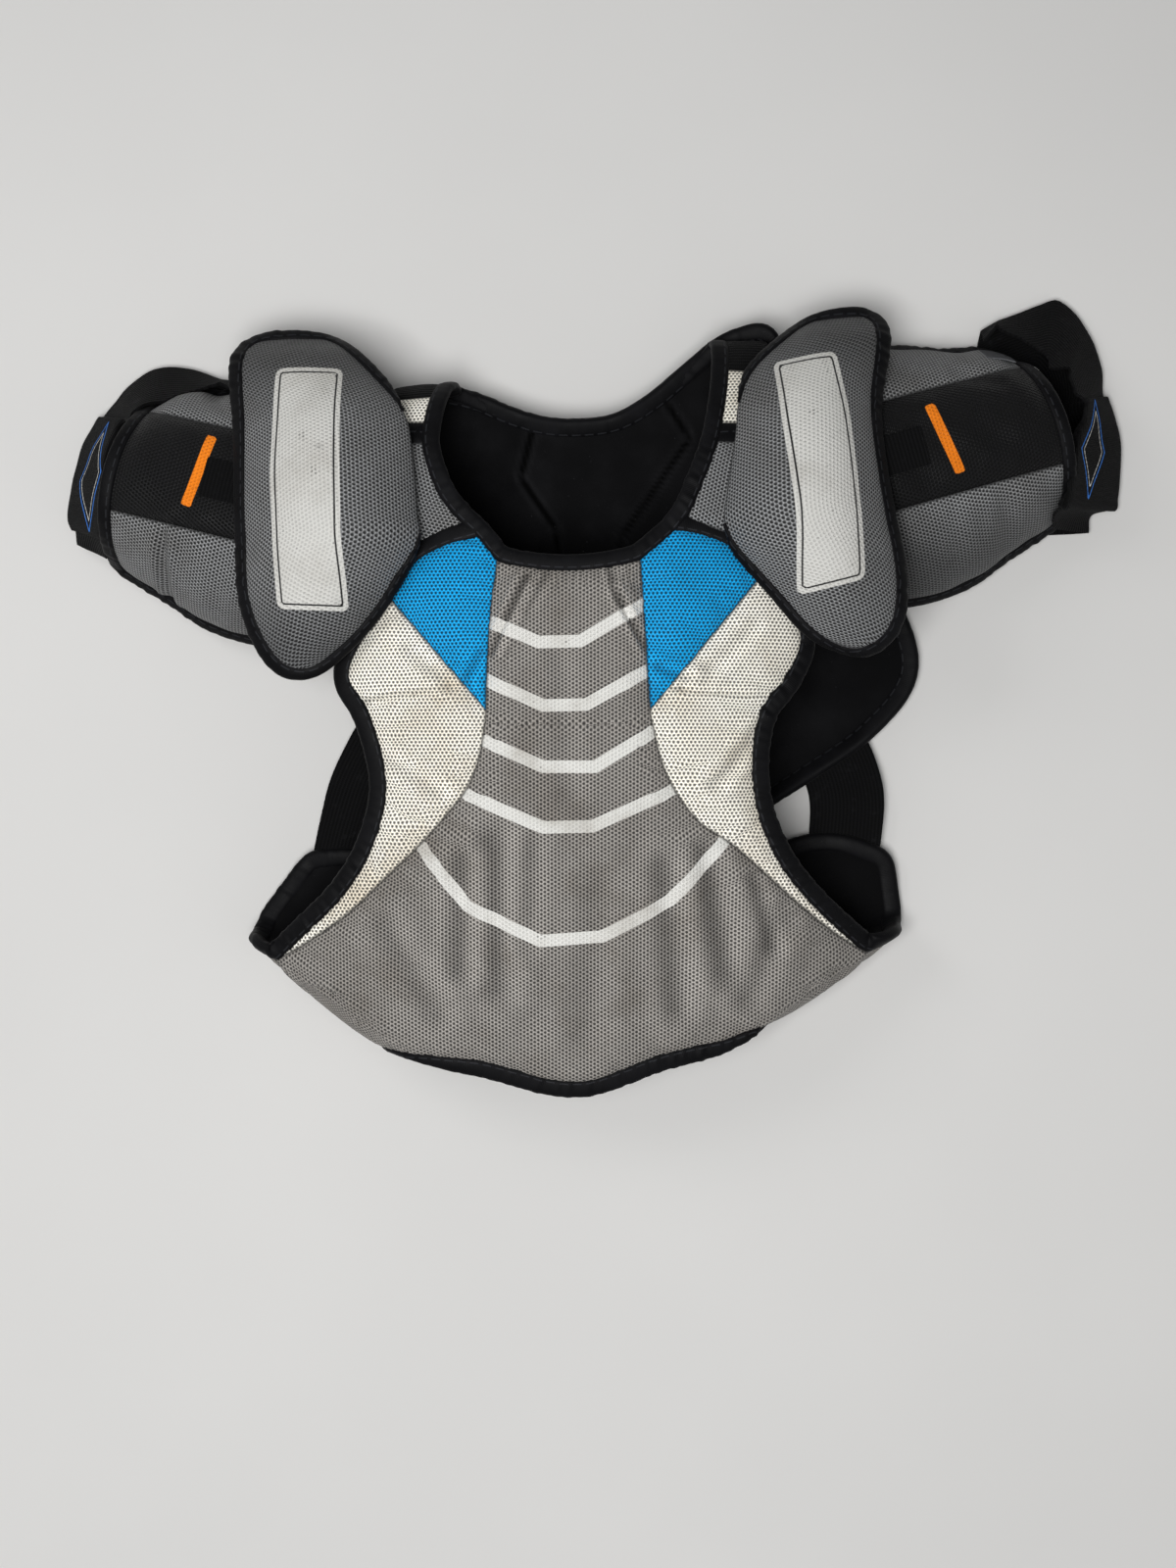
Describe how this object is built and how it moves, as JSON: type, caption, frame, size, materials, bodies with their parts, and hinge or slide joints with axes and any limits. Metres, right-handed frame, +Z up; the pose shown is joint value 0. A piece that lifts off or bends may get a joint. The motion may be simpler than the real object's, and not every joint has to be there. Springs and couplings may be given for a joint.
{
  "type": "hockey chest protector",
  "caption": "Padded hockey chest and shoulder protector lying on its back: mesh-covered front, back panel, domed shoulder caps, upper arm guards and elastic straps, all edged with binding tape",
  "frame": {"origin": "centre of the footprint, on the surface that the back panel lies on", "axes": "+Z up, out of the front of the chest; +Y towards the head; +X towards the wearer's left"},
  "size_m": [0.7002, 0.5271, 0.1339],
  "materials": {
    "grey_mesh": "grey spacer mesh over foam",
    "white_mesh": "white spacer mesh, lightly stained",
    "blue_mesh": "blue spacer mesh",
    "black_mesh": "black spacer mesh",
    "black_tape": "black woven binding tape",
    "black_lining": "black brushed lining on foam",
    "black_elastic": "black ribbed elastic and hook-and-loop tape",
    "label": "small woven tag, bare"
  },
  "bodies": {
    "root": {"chest_pad": "black_lining", "chest_right_wing_pad": "black_lining", "chest_left_wing_pad": "black_lining", "chest_centre_cover": "grey_mesh", "chest_right_blue_cover": "blue_mesh", "chest_left_blue_cover": "blue_mesh", "chest_right_white_cover": "white_mesh", "chest_left_white_cover": "white_mesh", "chest_binding": "black_tape", "neck_binding": "black_tape", "back_pad": "grey_mesh", "back_lining": "black_lining", "back_binding": "black_tape", "yoke_right_front_cover": "grey_mesh", "yoke_right_cross_tape": "black_tape", "yoke_right_top_cover": "white_mesh", "yoke_right_back_band": "black_elastic", "cap_right_pad": "grey_mesh", "cap_right_binding": "black_tape", "arm_right_rear_pad": "grey_mesh", "arm_right_middle_pad": "black_mesh", "arm_right_front_pad": "grey_mesh", "arm_right_binding": "black_tape", "arm_right_tab": "black_elastic", "arm_right_strap": "black_elastic", "arm_right_flap": "black_tape", "side_right_elastic": "black_elastic", "yoke_left_front_cover": "grey_mesh", "yoke_left_cross_tape": "black_tape", "yoke_left_top_cover": "white_mesh", "yoke_left_back_band": "black_elastic", "cap_left_pad": "grey_mesh", "cap_left_binding": "black_tape", "arm_left_rear_pad": "grey_mesh", "arm_left_middle_pad": "black_mesh", "arm_left_front_pad": "grey_mesh", "arm_left_binding": "black_tape", "arm_left_tab": "black_elastic", "arm_left_strap": "black_elastic", "arm_left_flap": "black_tape", "side_left_elastic": "black_elastic", "arm_left_label": "label"}
  },
  "joints": []
}
